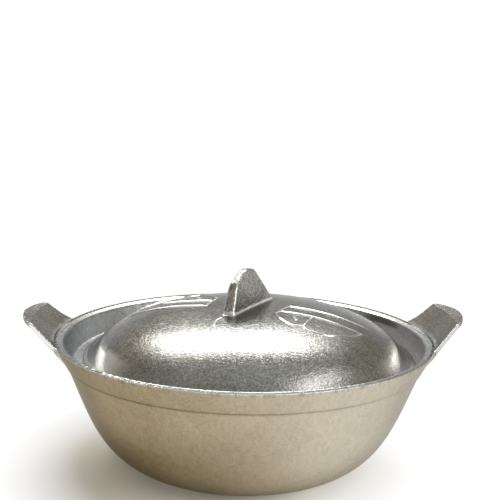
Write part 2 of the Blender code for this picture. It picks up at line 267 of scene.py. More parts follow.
# Bare metal: each noise has its cycles per metre, detail and roughness
CLOUD = (28.0, 4.0, 0.6)
MOTTLE = (220.0, 4.0, 0.7)
SPECK = (850.0, 2.0, 0.7)
BRUSHING = (500.0, 3.0, 0.6)
SHADE_SHARES = (0.25, 0.15, 0.35, 0.25)
SHADE_RANGE = (0.40, 0.60)
ROUGH_SHARES = (0.6, 0.4)
ROUGH_RANGE = (0.35, 0.65)
SPECK_HEIGHT = 1.0
BRUSHING_HEIGHT = 0.8
MARK_STRENGTH = 0.9
# dark colour of chips, painted shade and painted reflections, and its roughness
CHIP_AND_SHADE_COLOUR = (0.10, 0.085, 0.06)
CHIP_AND_SHADE_ROUGHNESS = 0.5
GROUND_POLISH = 0.6
GROUND_GRAIN = 0.35

# Painted reflection: what faces down gets colours that stand for a reflection, darker and warmer on the
# left and lighter on the right, by its tilt and by its place in metres
PAINTED_REFLECTION_TILT = (-0.32, -0.05)
PAINTED_REFLECTION_ACROSS = (-0.055, 0.075)
PAINTED_REFLECTION_BACK = (0.0, 0.07)
BACK_REFLECTION_COLOURS = ((0.66, 0.62, 0.54), (0.46, 0.43, 0.37))

# Metals: light and dark colour, lowest and highest roughness, grain in mm, weight of dents, stretch of
# the brushing, colour at grazing angles, light and dark painted-reflection colour of what faces down on
# the left and on the right, and colour of places of grinding and painted highlights
METALS = {
    "pot_metal": {
        "light": (0.68, 0.70, 0.72),
        "dark": (0.46, 0.47, 0.48),
        "roughness": (0.26, 0.36),
        "grain": 0.20,
        "dents": 0.1,
        "brush": 0.12,
        "tint": (0.45, 0.45, 0.45),
        # painted reflection: the left pair is darker and warmer than the right pair
        "under": (
            ((0.46, 0.375, 0.24), (0.33, 0.265, 0.165)),
            ((0.72, 0.66, 0.54), (0.58, 0.53, 0.425)),
        ),
        "ground_and_highlight": (0.90, 0.90, 0.89),
    },
    "tab_metal": {
        "light": (0.54, 0.52, 0.48),
        "dark": (0.32, 0.31, 0.28),
        "roughness": (0.22, 0.30),
        "grain": 0.15,
        "dents": 0.3,
        "brush": 1.0,
        "tint": (0.45, 0.45, 0.45),
        # painted reflection: the left pair is darker and warmer than the right pair
        "under": (
            ((0.62, 0.54, 0.40), (0.50, 0.43, 0.31)),
            ((0.62, 0.57, 0.47), (0.50, 0.45, 0.36)),
        ),
        "ground_and_highlight": (0.90, 0.90, 0.89),
    },
    "lid_metal": {
        "light": (0.61, 0.605, 0.575),
        "dark": (0.27, 0.265, 0.245),
        "roughness": (0.15, 0.26),
        "grain": 0.14,
        "dents": 0.08,
        "brush": 3.0,
        "tint": (0.6, 0.6, 0.6),
        "ground_and_highlight": (0.93, 0.93, 0.93),
    },
    "knob_metal": {
        "light": (0.54, 0.53, 0.49),
        "dark": (0.14, 0.13, 0.11),
        "roughness": (0.14, 0.30),
        "grain": 0.30,
        "dents": 0.8,
        "brush": 1.0,
        "tint": (0.6, 0.6, 0.6),
        "ground_and_highlight": (0.92, 0.92, 0.92),
    },
    "leaf_metal": {
        "light": (0.90, 0.90, 0.90),
        "dark": (0.70, 0.70, 0.70),
        "roughness": (0.14, 0.20),
        "grain": 0.02,
        "dents": 0.8,
        "brush": 1.0,
        "tint": (0.9, 0.9, 0.9),
    },
}

# Floor: how white it glows near the pot, by turn in degrees from the front, and between which distances
# in metres the glow comes in there and all round
FLOOR_HALF_SIZE = 9000.0
FLOOR_SHARES = ((-120, 0.1), (-60, 0.1), (-15, 0.2), (12, 0.5), (35, 1.0), (150, 1.0))
FLOOR_BACK_SHARE = 0.3
FLOOR_NEAR = (0.045, 0.115)
FLOOR_FAR = (0.10, 0.16)
FLOOR_COLOUR = (0.92, 0.92, 0.92)
# painted shade: a darker, warmer floor colour near the pot
FLOOR_SHADE_COLOUR = (0.86, 0.83, 0.75)
FLOOR_GLOW = 1.05

# Surroundings: colour by height, from the horizon at 0 to straight up at 1
WORLD_FOOT = (0.0, (0.50, 0.52, 0.54))
WORLD_HEAD = (1.0, (0.52, 0.53, 0.52))
WORLD_STOPS = (
    (0.20, (0.50, 0.51, 0.52)),
    (0.34, (0.44, 0.41, 0.36)),
    (0.60, (0.27, 0.255, 0.215)),
    (0.80, (0.27, 0.265, 0.24)),
    (0.93, (0.44, 0.44, 0.42)),
)

# White surroundings: along the horizon, and higher up straight behind the pot
HORIZON = (0.03, 0.015)
BACKDROP_TOP = (0.13, 0.105)
BACKDROP_SIDES = (0.86, 0.93)

# Lights: name, azimuth and elevation in degrees, distance, width and height in metres, radiance, colour
# and roll. They all face one point, in metres.
LIT_POINT = (0.0, 0.0, 0.08)
LAMPS = (
    ("window", 186.0, 52.6, 1.2, 1.0, 0.35, 7.7, (1.0, 1.0, 1.0), math.radians(-9.0)),
    ("side_window", 154.0, 48.0, 1.2, 0.60, 0.36, 0.7, (0.94, 0.97, 1.0), 0.0),
    ("window_foot", 176.0, 42.0, 1.2, 0.50, 0.14, 3.2, (0.86, 0.94, 1.0), 0.0),
    ("window_surround", 187.0, 51.0, 1.25, 1.55, 0.74, 0.40, (1.0, 0.86, 0.74), 0.0),
    ("sky_low", 172.0, 33.0, 1.25, 1.0, 0.30, 0.5, (0.86, 0.93, 1.0), 0.0),
    ("low_front", 15.0, 6.0, 1.3, 1.5, 0.14, 8.0, (1.0, 1.0, 1.0), 0.0),
    ("front_light", 66.0, 54.0, 1.2, 0.8, 0.26, 2.4, (1.0, 1.0, 1.0), 0.0),
    ("right_fill", 48.0, 26.0, 1.4, 0.9, 0.5, 4.0, (1.0, 1.0, 1.0), 0.0),
    ("left_fill", -35.0, 20.0, 1.6, 0.5, 0.5, 1.2, (1.0, 0.86, 0.70), 0.0),
)

# Camera: its place in metres, its turns, and its lens and sensor in mm
CAMERA_PLACE = (-0.0324, -0.5695, 0.235)
CAMERA_TURN = math.radians(-3.48)
CAMERA_TILT = math.radians(80.354)
CAMERA_ROLL = math.radians(1.388)
CAMERA_LENS = 65.89
SENSOR_WIDTH = 36.0


def arc(centre, radius, start, end, steps):
    """Points on an arc in a plane, from one angle in degrees to another."""
    angles = np.radians(np.linspace(start, end, steps + 1))
    return [(centre[0] + radius * math.cos(a), centre[1] + radius * math.sin(a)) for a in angles]


def line(start, end, steps):
    """Points on a straight line, without its two ends."""
    shares = np.linspace(0, 1, steps + 1)[1:-1]
    return [(start[0] + (end[0] - start[0]) * t, start[1] + (end[1] - start[1]) * t) for t in shares]


def bezier(start, pull_out, pull_in, end, steps):
    """Points on a cubic curve that leaves and arrives towards its two pull points."""
    t = np.linspace(0, 1, steps + 1)[:, None]
    corners = [np.array(p, float) for p in (start, pull_out, pull_in, end)]
    weights = ((1 - t) ** 3, 3 * (1 - t) ** 2 * t, 3 * (1 - t) * t**2, t**3)
    return [tuple(p) for p in sum(w * c for w, c in zip(weights, corners))]


def offset(point, length, slope):
    """The point this far on, along a slope."""
    return (point[0] + length * math.cos(slope), point[1] + length * math.sin(slope))


def wave(angles, radius, shortest, longest, seed, count=24):
    """A smooth random wave round a circle, between about -1 and 1. Lengths are in the radius's unit."""
    draw = np.random.default_rng(seed)
    turns = 2 * math.pi * radius
    total = np.zeros_like(angles)
    for length in np.geomspace(shortest, longest, count):
        cycles = max(1, round(turns / length * draw.uniform(0.9, 1.1)))
        total += np.cos(cycles * angles + draw.uniform(0, 2 * math.pi)) * draw.uniform(0.5, 1.0)
    return total / (0.9 * math.sqrt(count))


def mesh_object(name, points, faces):
    """A smooth-shaded mesh object. The points are in mm."""
    mesh = bpy.data.meshes.new(name)
    mesh.from_pydata((np.asarray(points, float) * MM).tolist(), [], faces)
    mesh.shade_smooth()
    made = bpy.data.objects.new(name, mesh)
    bpy.context.scene.collection.objects.link(made)
    return made


def turned(name, profile, segments, wear=None):
    """A closed solid of revolution about Z. The profile starts and ends on the axis, in mm."""
    angles = np.arange(segments) * 2 * math.pi / segments
    inner = np.array(profile[1:-1], float)
    radius = np.repeat(inner[:, :1], segments, axis=1)
    height = np.repeat(inner[:, 1:], segments, axis=1)
    if wear is not None:
        radius, height = wear(radius, height, angles)
    rings = np.stack([radius * np.cos(angles), radius * np.sin(angles), height], axis=-1)
    points = [*rings.reshape(-1, 3), (0, 0, profile[0][1]), (0, 0, profile[-1][1])]
    first, last = len(points) - 2, len(points) - 1
    faces = []
    for step in range(segments):
        after = (step + 1) % segments
        faces.append((first, step, after))
        for ring in range(len(inner) - 1):
            here, there = ring * segments, (ring + 1) * segments
            faces.append((here + step, there + step, there + after, here + after))
        bottom = (len(inner) - 1) * segments
        faces.append((last, bottom + after, bottom + step))
    return mesh_object(name, points, faces)


def evaluated(made):
    """Fixes an object's modifiers in its mesh."""
    bpy.context.view_layer.update()
    graph = bpy.context.evaluated_depsgraph_get()
    mesh = bpy.data.meshes.new_from_object(made.evaluated_get(graph))
    made.modifiers.clear()
    made.data = mesh
    mesh.shade_smooth()
    return made


def solid_between(name, first, second):
    """A closed solid between two outlines with the same number of points, in mm."""
    count = len(first)
    faces = [tuple(reversed(range(count))), tuple(range(count, 2 * count))]
    for here in range(count):
        after = (here + 1) % count
        faces.append((here, after, count + after, count + here))
    return mesh_object(name, [*first, *second], faces)


def prism(name, outline, low, high):
    """An upright solid with this outline in XY, in mm."""
    return solid_between(name, [(x, y, low) for x, y in outline], [(x, y, high) for x, y in outline])


def combine(target, other, operation):
    """Cuts, keeps or joins another object's solid with an exact Boolean, and removes that object."""
    step = target.modifiers.new(operation, "BOOLEAN")
    step.operation = operation
    step.object = other
    step.solver = "EXACT"
    evaluated(target)
    bpy.data.objects.remove(other, do_unlink=True)


def add_bevel(made, width, steps, angle):
    """Rounds the edges that turn by more than an angle in degrees. The width is in mm."""
    bevel = made.modifiers.new("Edges", "BEVEL")
    bevel.width = width * MM
    bevel.segments = steps
    bevel.angle_limit = math.radians(angle)


def add_remesh(made, voxel):
    """Gives an object an even, dense mesh with cells of this size in mm."""
    remesh = made.modifiers.new("Remesh", "REMESH")
    remesh.mode = "VOXEL"
    remesh.voxel_size = voxel * MM


def add_smoothing(made, rounds, group=""):
    """Smooths an object, or the part of it that a vertex group names."""
    smooth = made.modifiers.new("Smooth", "SMOOTH")
    smooth.factor = 0.5
    smooth.iterations = rounds
    smooth.vertex_group = group


def vertex_arrays(made):
    """An object's vertex places and normals, in mm and as unit vectors."""
    count = len(made.data.vertices)
    places = np.zeros(count * 3, np.float32)
    normals = np.zeros(count * 3, np.float32)
    made.data.vertices.foreach_get("co", places)
    made.data.vertex_normals.foreach_get("vector", normals)
    return places.reshape(-1, 3).astype(float) / MM, normals.reshape(-1, 3).astype(float)


def set_places(made, places):
    """Puts an object's vertices at these places, in mm."""
    made.data.vertices.foreach_set("co", (places * MM).astype(np.float32).ravel())
    made.data.update()


def mark(made, name, values):
    """Stores a value from 0 to 1 at each vertex, for a material to read."""
    attribute = made.data.attributes.new(name, "FLOAT", "POINT")
    attribute.data.foreach_set("value", np.asarray(values, np.float32))


def bumps(places, size, seed):
    """Smooth random values between about -1 and 1 at these places, with lumps of about this size."""
    shift = Vector([seed * step for step in SEED_STEPS])
    return np.array([noise.noise(Vector(p) / size + shift) for p in places.tolist()])


def lumps(places, *layers):
    """The sum of layers of lumps at these places, in mm."""
    return sum(bumps(places, size, seed) * height for size, height, seed in layers)


def fade(values, start, width):
    """0 up to the start, and from there up to 1 over the width."""
    return np.clip((values - start) / width, 0, 1)


def near(values, reach, width):
    """1 for small values, falling to 0 at the reach over the width."""
    return np.clip((reach - values) / width, 0, 1)


def patches(turn, middle, swing, *waves):
    """Uneven values from 0 to 1 round the rim."""
    return np.clip(middle + swing * wave(turn, RIM_RADIUS, *waves), 0, 1)


def bend(made, rounds):
    """How much a surface bends out at each vertex: above 0 on an edge, and below 0 in a fillet."""
    places, normals = vertex_arrays(made)
    count = len(made.data.edges)
    ends = np.zeros(count * 2, np.int32)
    made.data.edges.foreach_get("vertices", ends)
    first, second = ends[::2], ends[1::2]
    neighbours = np.maximum(np.bincount(ends, minlength=len(places)), 1)
    apart = places[second] - places[first]
    length = np.maximum(np.linalg.norm(apart, axis=1), 1e-6)
    pull = np.zeros(len(places))
    np.add.at(pull, first, -(apart * normals[first]).sum(axis=1) / length)
    np.add.at(pull, second, (apart * normals[second]).sum(axis=1) / length)
    pull /= neighbours
    for _ in range(rounds):
        total = np.bincount(first, pull[second], len(pull))
        total += np.bincount(second, pull[first], len(pull))
        pull = (pull + total / neighbours) / 2
    return pull


def flare_section():
    """The flared band's inside: a fillet, a hollow face, a rounded knee and a bell up to the lip."""
    fillet_end = 270 + math.degrees(FLARE_FOOT_SLOPE)
    centre = (SEAT_OUTER_RADIUS - SEAT_FILLET, SEAT_Z + SEAT_FILLET)
    fillet = arc(centre, SEAT_FILLET, 270, fillet_end, 8)
    end = (LIP_INNER_RADIUS, POT_HEIGHT - LIP_INNER_FALL)
    bell_slope = math.atan2(end[1] - FLARE_KNEE[1], end[0] - FLARE_KNEE[0])
    knee_start = offset(FLARE_KNEE, -FLARE_KNEE_ROUND, FLARE_HEAD_SLOPE)
    knee_end = offset(FLARE_KNEE, FLARE_KNEE_ROUND, bell_slope)
    foot_pull = offset(fillet[-1], FLARE_FOOT_PULL, FLARE_FOOT_SLOPE)
    head_pull = offset(knee_start, -FLARE_HEAD_PULL, FLARE_HEAD_SLOPE)
    bell_pull = offset(knee_end, BELL_FOOT_PULL, bell_slope)
    top_pull = offset(end, -BELL_TOP_PULL, BELL_TOP_SLOPE)
    face = bezier(fillet[-1], foot_pull, head_pull, knee_start, 14)[1:-1]
    knee = bezier(knee_start, FLARE_KNEE, FLARE_KNEE, knee_end, 6)[:-1]
    return fillet + face + knee + bezier(knee_end, bell_pull, top_pull, end, 6)


def lip_section(start):
    """The lip: a narrow crown, a chamfer that falls outwards and a small rounded edge."""
    crown = (LIP_CROWN_RADIUS, POT_HEIGHT)
    crown_pull = (LIP_CROWN_RADIUS - LIP_CROWN_REACH, POT_HEIGHT)
    crown_end = (LIP_CROWN_RADIUS + LIP_CROWN_REACH, POT_HEIGHT - LIP_CROWN_FALL)
    edge = (RIM_RADIUS - LIP_ROUND / 2, POT_HEIGHT - LIP_FALL)
    end = (RIM_RADIUS, POT_HEIGHT - LIP_FALL - LIP_ROUND)
    edge_pull = offset(edge, LIP_ROUND / 2, LIP_ROLL_SLOPE)
    roll = bezier(edge, edge_pull, (RIM_RADIUS, end[1] + LIP_ROUND / 2), end, 4)
    return bezier(start, crown_pull, crown, crown_end, 6)[1:] + line(crown_end, edge, 5) + roll


def pot_profile():
    """The bowl's section, from the middle of its floor over the lip to the middle of its base."""
    middle = (MIDDLE_RADIUS, FLOOR_THICKNESS)
    floor = [(0, FLOOR_THICKNESS), middle] + line(middle, (BASE_RADIUS, FLOOR_THICKNESS), 10)
    inner = bezier(
        (BASE_RADIUS, FLOOR_THICKNESS),
        (BASE_REACH_RADIUS - WALL_THICKNESS, FLOOR_THICKNESS),
        (SEAT_INNER_RADIUS - WALL_THICKNESS / 2, SEAT_Z - WALL_REACH),
        (SEAT_INNER_RADIUS, SEAT_Z - SEAT_NOSE),
        60,
    )
    nose = arc((SEAT_INNER_RADIUS + SEAT_NOSE, SEAT_Z - SEAT_NOSE), SEAT_NOSE, 180, 90, 6)[1:]
    flare = flare_section()
    seat = line(nose[-1], flare[0], 5)
    lip = lip_section(flare[-1])
    foot = (BAND_FOOT_RADIUS + BAND_ROUND, BAND_FOOT_Z + BAND_ROUND)
    band = line(lip[-1], foot, 16)
    under = arc((BAND_FOOT_RADIUS, BAND_FOOT_Z + BAND_ROUND), BAND_ROUND, 0, -90, 4)
    wall_top = (BAND_FOOT_RADIUS - BAND_STEP, BAND_FOOT_Z)
    wall = bezier(
        wall_top,
        (wall_top[0] - WALL_REACH * math.tan(WALL_SLOPE), wall_top[1] - WALL_REACH),
        (BASE_REACH_RADIUS, 0),
        (BASE_RADIUS, 0),
        110,
    )
    base = line((BASE_RADIUS, 0), (MIDDLE_RADIUS, 0), 8) + [(MIDDLE_RADIUS, 0), (0, 0)]
    return floor + inner + nose + seat + flare + lip + band + under + wall + base


def lip_wear(radius, height, angles):
    """The hand-ground lip: its edge dips and its outer face comes in by small uneven amounts."""
    high = fade(height, POT_HEIGHT - LIP_WEAR_REACH, LIP_WEAR_REACH)
    outer = fade(radius, LIP_CROWN_RADIUS - LIP_WEAR_INSET, RIM_RADIUS - LIP_CROWN_RADIUS)
    dips = np.abs(wave(angles, RIM_RADIUS, *DIP_WAVES))
    nicks = np.clip(wave(angles, RIM_RADIUS, *NICK_WAVES), 0, 1)
    height = height - high * (LIP_WEAR * outer * dips + NICK_DEPTH * nicks)
    radius = radius - high * outer * LIP_WEAR * np.abs(wave(angles, RIM_RADIUS, *FACE_WAVES))
    return radius, height


def mark_pot(made, places, normals):
    """Marks the lip's grinding with a painted highlight at the back, the chips, painted shade in the
    crease, knee and lip's edge at the back, and painted reflections as streaks.
    """
    radius = np.hypot(places[:, 0], places[:, 1])
    turn = np.arctan2(places[:, 1], places[:, 0])
    height = places[:, 2]
    back = fade(np.sin(turn), *BACK_FADE)
    high = fade(height, *LIP_TOP_FADE)
    level = fade(normals[:, 2], *LIP_LEVEL_FADE)
    uneven = LIP_GROUND_SWING * wave(turn, RIM_RADIUS, *LIP_GROUND_WAVES)
    # the band of grinding reaches farther in at the back: painted highlight
    ground_and_highlight_from = LIP_GROUND_RADIUS - LIP_BACK_HIGHLIGHT * back + uneven
    mark(made, "ground_and_highlight", high * level * fade(radius, ground_and_highlight_from, LIP_GROUND_WIDTH))
    # painted shade in the crease under the band, heavier on the left
    from_crease = np.hypot(radius - BAND_FOOT_RADIUS + BAND_STEP, height - BAND_FOOT_Z)
    crease = near(from_crease, *CREASE_SHADE) * (radius > BAND_FOOT_RADIUS - CREASE_INSET)
    crease *= (CREASE_DEPTH - CREASE_LEFT_MORE * np.cos(turn)) * patches(turn, *CREASE_PATCHES)
    # painted shade under the flared band's knee and along the lip's outer edge, at the back
    from_knee = np.hypot(radius - FLARE_KNEE[0], height - FLARE_KNEE[1] + KNEE_DROP)
    knee = KNEE_DEPTH * near(from_knee, *KNEE_SHADE) * back * patches(turn, *KNEE_PATCHES)
    edge = back**2 * high * fade(radius, *LIP_DARK_FADE)
    chipped = np.minimum(fade(wave(turn, RIM_RADIUS, *CHIP_WAVES), *CHIP_FADE), CHIP_DEPTH)
    chips = (1 - back) * high * (radius > LIP_CROWN_RADIUS - CHIP_INSET) * chipped
    dark_marks = [crease, knee, edge, chips]
    # painted reflections: dark streaks in the flared band
    flare = (radius > SEAT_OUTER_RADIUS) * (normals[:, 2] > 0) * near(radius, *STREAK_TOP)
    for middle, width, low, depth in FLARE_STREAKS:
        along = np.exp(-(((turn - math.radians(middle)) / math.radians(width)) ** 4))
        dark_marks.append(depth * flare * along * fade(height, low, STREAK_FOOT_WIDTH))
    mark(made, "chips_and_shade", np.max(dark_marks, axis=0))


def make_pot_body():
    """The bowl with its seat, flared band and worn lip."""
    made = turned("pot_body", pot_profile(), POT_SEGMENTS, lip_wear)
    places, normals = vertex_arrays(made)
    set_places(made, places - normals * np.abs(lumps(places, *POT_LUMPS))[:, None])
    mark_pot(made, places, normals)
    return made


def tab_section(lift):
    """The handle's section in (radius, height): a plate that climbs, then lies flatter at its tip."""
    root = Vector((RIM_RADIUS, POT_HEIGHT - TAB_ROOT_DROP))
    crease = Vector((CREASE_RADIUS, POT_HEIGHT + CREASE_RISE + lift))
    tip = Vector((TAB_REACH, POT_HEIGHT + TIP_RISE + lift))
    climb = (crease - root).normalized()
    lie = (tip - crease).normalized()
    below_climb = Vector((climb.y, -climb.x))
    below_lie = Vector((lie.y, -lie.x))
    mitre = (below_climb + below_lie).normalized() * TAB_THICKNESS / math.cos(climb.angle(lie) / 2)
    beyond = tip + lie * TAB_THICKNESS
    foot_z = POT_HEIGHT - TAB_FOOT_DEPTH
    climbed = (foot_z - BAND_FOOT_Z) / (POT_HEIGHT - BAND_FOOT_Z)
    foot_radius = BAND_FOOT_RADIUS + climbed * (RIM_RADIUS - BAND_FOOT_RADIUS)
    top = [(RIM_RADIUS - TAB_SUNK, POT_HEIGHT - TAB_ROOT_DROP), root, crease, beyond]
    under = [beyond + below_lie * TAB_THICKNESS, crease + mitre, root + below_climb * TAB_THICKNESS]
    foot = [(foot_radius, foot_z), (foot_radius - TAB_SUNK, foot_z)]
    return [tuple(p) for p in [*top, *under, *foot]]


def tab_outline():
    """The handle's outline from above: flared at the rim, sides that close in, and a bowed tip."""
    bow_centre = Vector((TAB_REACH - TAB_TIP_CURVE, 0))
    root = Vector((RIM_RADIUS, TAB_ROOT_WIDTH / 2))
    end = Vector((TAB_REACH, TAB_TIP_WIDTH / 2))
    along = (end - root).normalized()
    inward = Vector((along.y, -along.x))
    start = root + inward * TAB_CORNER - bow_centre
    limit = TAB_TIP_CURVE - TAB_CORNER
    reach = math.sqrt(start.dot(along) ** 2 - start.dot(start) + limit**2) - start.dot(along)
    corner = bow_centre + start + along * reach
    from_bow = corner - bow_centre
    side_angle = math.degrees(math.atan2(-inward.y, -inward.x))
    bow_angle = math.degrees(math.atan2(from_bow.y, from_bow.x))
    shoulder = root + along * TAB_SIDE_FILLET - along * TAB_FLARE_BACK
    spread = Vector((RIM_RADIUS * math.cos(TAB_FLARE_ANGLE), RIM_RADIUS * math.sin(TAB_FLARE_ANGLE)))
    flare = bezier(
        (spread.x - TAB_FLARE_INSET, spread.y + TAB_FLARE_OUT),
        tuple(spread * TAB_FLARE_PULL),
        tuple(shoulder),
        tuple(shoulder + along * TAB_SIDE_FILLET),
        8,
    )
    right = [(TAB_INNER_END, flare[0][1])] + flare + arc(corner, TAB_CORNER, side_angle, bow_angle, 10)
    bow = arc(bow_centre, TAB_TIP_CURVE, bow_angle, -bow_angle, 24)[1:-1]
    return [(x, -y) for x, y in right + bow] + right[::-1]


def tab_solid(name, lift):
    """The handle's section swept round the rim and cut to its outline."""
    section = tab_section(lift)
    angles = np.radians(np.linspace(-TAB_SECTOR, TAB_SECTOR, TAB_SLICES))
    points = [(r * math.cos(a), r * math.sin(a), z) for a in angles for r, z in section]
    count = len(section)
    faces = [tuple(range(count)), tuple(reversed(range(len(points) - count, len(points))))]
    for step in range(len(angles) - 1):
        here, there = step * count, (step + 1) * count
        for side in range(count):
            after = (side + 1) % count
            faces.append((here + side, there + side, there + after, here + after))
    made = mesh_object(name, points, faces)
    combine(made, prism("outline", tab_outline(), 0, 2 * POT_HEIGHT), "INTERSECT")
    return made


def make_tab(name, turn, lift, polish):
    """One tab handle, cast with the rim: a plate with a rough tip, its edges painted bright as wear and
    highlight, and painted highlights on its flanks and along its root.
    """
    made = tab_solid(name, lift)
    add_bevel(made, *TAB_BEVEL)
    add_remesh(made, TAB_VOXEL)
    add_smoothing(made, TAB_SMOOTHING)
    evaluated(made)
    places, normals = vertex_arrays(made)
    radius = np.hypot(places[:, 0], places[:, 1])
    rough = lumps(places, TAB_TIP_LUMPS) * fade(radius, *TAB_TIP_FADE) + lumps(places, TAB_LUMPS)
    set_places(made, places + normals * rough[:, None])
    # edges painted bright as wear and highlight; painted highlights on the flanks and along the root
    worn = fade(bend(made, TAB_EDGE_WEAR_SHEEN_ROUNDS), TAB_EDGE_WEAR_SHEEN, TAB_EDGE_WEAR_SHEEN)
    flank_highlight = fade(np.abs(normals[:, 1]), *TAB_FLANK_FADE) * (radius > TAB_FLANK_START)
    root = near(radius, TAB_ROOT_HIGHLIGHT + lumps(places, TAB_ROOT_LUMPS), TAB_ROOT_HIGHLIGHT_WIDTH)
    root_highlight = root * (normals[:, 2] > TAB_ROOT_LEVEL)
    mark(made, "ground_and_highlight", np.maximum(polish * np.maximum(worn, flank_highlight), root_highlight))
    made.data.transform(Matrix.Rotation(turn, 4, "Z"))
    return made


def dome_height(radius, top=DOME_TOP, reach=DOME_RADIUS, foot=BRIM_TOP):
    """Height of the dome at a radius: flat in the middle, with a full shoulder and a steep foot."""
    share = np.clip(np.asarray(radius, float) / reach, 0, 1)
    return foot + (top - foot) * (1 - share**DOME_FLATNESS) ** (1 / DOME_SHOULDER)


def dome_curve(top, reach, foot, steps):
    """Points from near the middle of a dome out to its foot, closer together where it bends more."""
    shares = np.sin(np.linspace(DOME_START, 1, steps) * math.pi / 2)
    return [(reach * s, float(dome_height(reach * s, top, reach, foot))) for s in shares]


def lid_profile():
    """The lid's section from the top of its dome, round the brim and back under the dome."""
    outside = dome_curve(DOME_TOP, DOME_RADIUS, BRIM_TOP, 150)
    steps = zip(outside, outside[1:])
    falls = [math.atan2(here[1] - there[1], there[0] - here[0]) for here, there in steps]
    steep = next(number for number, fall in enumerate(falls) if fall > DOME_FOOT_SLOPE)
    outside = outside[:steep]
    last = outside[-1]
    foot = (last[0] + (last[1] - BRIM_TOP) / math.tan(DOME_FOOT_SLOPE), BRIM_TOP)
    foot_start = offset(foot, -DOME_FOOT_BEND, -DOME_FOOT_SLOPE)
    outside += line(last, foot_start, 8)
    fillet = bezier(foot_start, foot, foot, (foot[0] + DOME_FOOT_BEND, foot[1]), 8)
    upper = (BRIM_RADIUS - BRIM_ROUND, BRIM_TOP - BRIM_ROUND)
    lower = (BRIM_RADIUS - BRIM_ROUND, BRIM_BOTTOM + BRIM_ROUND)
    edge = arc(upper, BRIM_ROUND, 90, 0, 6) + arc(lower, BRIM_ROUND, 0, -90, 6)
    brim = line(fillet[-1], edge[0], 6)
    inside = dome_curve(DOME_TOP - LID_THICKNESS, DOME_RADIUS - LID_THICKNESS, BRIM_BOTTOM, 90)
    under = line(edge[-1], inside[-1], 6)
    outer = [(0, DOME_TOP), *outside, *fillet, *brim, *edge]
    return [*outer, *under, *inside[::-1], (0, DOME_TOP - LID_THICKNESS)]


def make_lid_shell():
    """The lid's dome and brim, slightly wavy from hand polishing, with a painted highlight on the foot
    at each side.
    """
    made = turned("lid_shell", lid_profile(), LID_SEGMENTS)
    places, normals = vertex_arrays(made)
    set_places(made, places - normals * np.abs(lumps(places, *LID_LUMPS))[:, None])
    # painted highlight on the dome's foot at the left and right sides
    foot_highlight_top = LID_FOOT_HIGHLIGHT_TOP + lumps(places, LID_FOOT_LUMPS)
    sideways = np.abs(places[:, 0]) / np.maximum(np.hypot(places[:, 0], places[:, 1]), 1)
    foot = near(places[:, 2], foot_highlight_top, LID_FOOT_HIGHLIGHT_WIDTH)
    mark(made, "ground_and_highlight", foot * fade(sideways, *LID_FOOT_HIGHLIGHT_SIDES))
    made.data.transform(Matrix.Translation((LID_SHIFT * MM, 0, 0)))
    return made


def smooth_path(points, steps):
    """A rounded path through a few points in a plane."""
    points = [Vector(p) for p in points]
    ahead = [2 * points[0] - points[1], *points, 2 * points[-1] - points[-2]]
    path = []
    for before, start, end, after in zip(ahead, ahead[1:], ahead[2:], ahead[3:]):
        leave = start + (end - before) / 6
        arrive = end - (after - start) / 6
        path += bezier(tuple(start), tuple(leave), tuple(arrive), tuple(end), steps)[:-1]
    return np.array(path + [tuple(points[-1])])


def dome_point(x, y):
    """A point of the dome and its outward normal there."""
    step = 0.01
    radius = math.hypot(x, y)
    slope = (dome_height(radius + step) - dome_height(max(radius - step, 0))) / (2 * step)
    outwards = Vector((x, y, 0)) / max(radius, step)
    normal = Vector((-slope * outwards.x, -slope * outwards.y, 1)).normalized()
    return Vector((x, y, float(dome_height(radius)))), normal


def ridge(path, height, seed):
    """A raised line on the dome along a path: points and faces of a closed low ridge that blends in."""
    across = np.linspace(-1, 1, RIDGE_POINTS)
    shape = np.cos(across * math.pi / 2) ** RIDGE_FULLNESS
    count = len(path)
    turns = np.linspace(0, 2 * math.pi, count, endpoint=False)
    draw = wave(turns, count, *RIDGE_WAVES, seed, RIDGE_WAVE_COUNT)
    points, faces = [], []
    for number, (x, y) in enumerate(path):
        before, ahead = path[max(number - 1, 0)], path[min(number + 1, count - 1)]
        place, normal = dome_point(x, y)
        along = Vector((ahead[0] - before[0], ahead[1] - before[1], 0)).normalized()
        side = normal.cross(along).normalized()
        end = min(number, count - 1 - number) / RIDGE_END_STEPS
        rise = height * min(1.0, RIDGE_END_HEIGHT + end)
        rise *= 1 + RIDGE_HEIGHT_SWING * draw[number]
        spread = RIDGE_HALF_WIDTH * min(1.0, RIDGE_END_WIDTH + end)
        spread *= 1 + RIDGE_WIDTH_SWING * draw[-number]
        for aside, share in zip(across, shape):
            points.append(place + side * (aside * spread) + normal * (share * rise - RIDGE_SINK))
        points.append(place + side * spread - normal * RIDGE_SUNK)
        points.append(place - side * spread - normal * RIDGE_SUNK)
    width = RIDGE_POINTS + 2
    for number in range(count - 1):
        here, there = number * width, (number + 1) * width
        for step in range(width):
            after = (step + 1) % width
            faces.append((here + step, here + after, there + after, there + step))
    last = (count - 1) * width
    faces.append(tuple(reversed(range(width))))
    faces.append(tuple(range(last, last + width)))
    return points, faces


